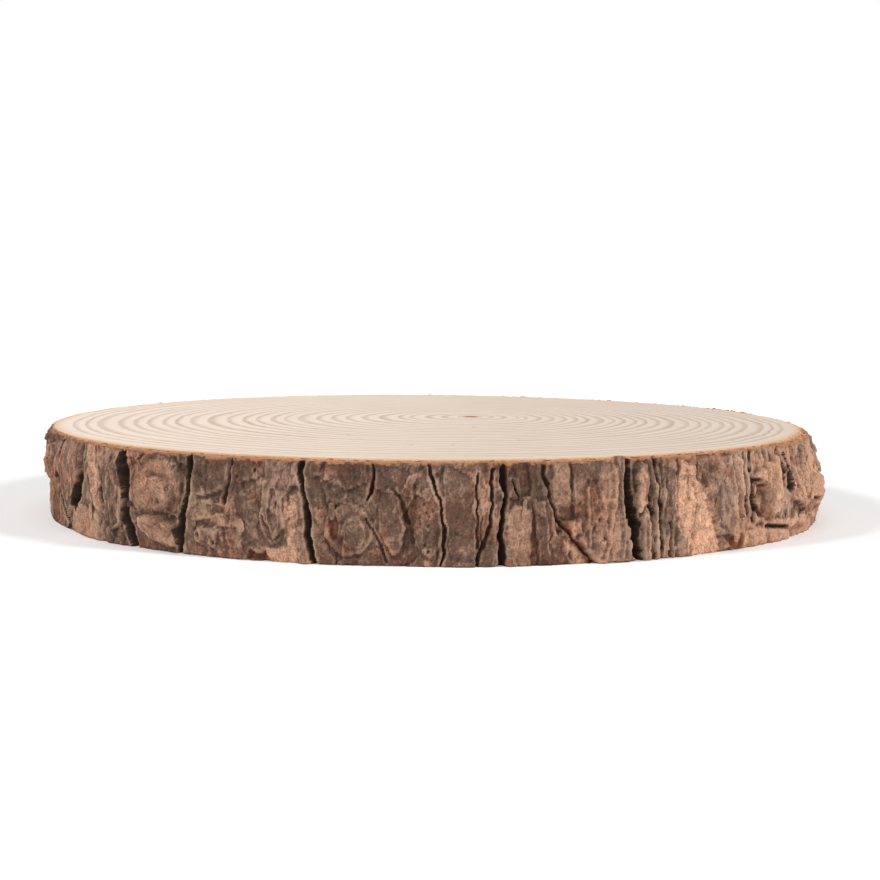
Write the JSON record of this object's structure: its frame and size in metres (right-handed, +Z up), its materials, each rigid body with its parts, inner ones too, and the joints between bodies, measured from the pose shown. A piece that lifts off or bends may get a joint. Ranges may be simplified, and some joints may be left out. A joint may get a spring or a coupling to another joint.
{
  "type": "wood slice",
  "caption": "Round slice of a softwood trunk, cut straight across, with pale sawn faces, visible growth rings and rough brown bark around the edge.",
  "frame": {"origin": "middle of the underside of the bounding box", "axes": "+Z up through the slice's thickness, from the lower sawn face to the upper; +X along the longest extent, to the right; -Y is the front"},
  "size_m": [0.1942, 0.191, 0.022],
  "materials": {
    "wood": "sawn and lightly sanded, matte",
    "bark": "rough, flaky, matte"
  },
  "bodies": {
    "root": {"wood_slice": "wood"}
  },
  "joints": []
}
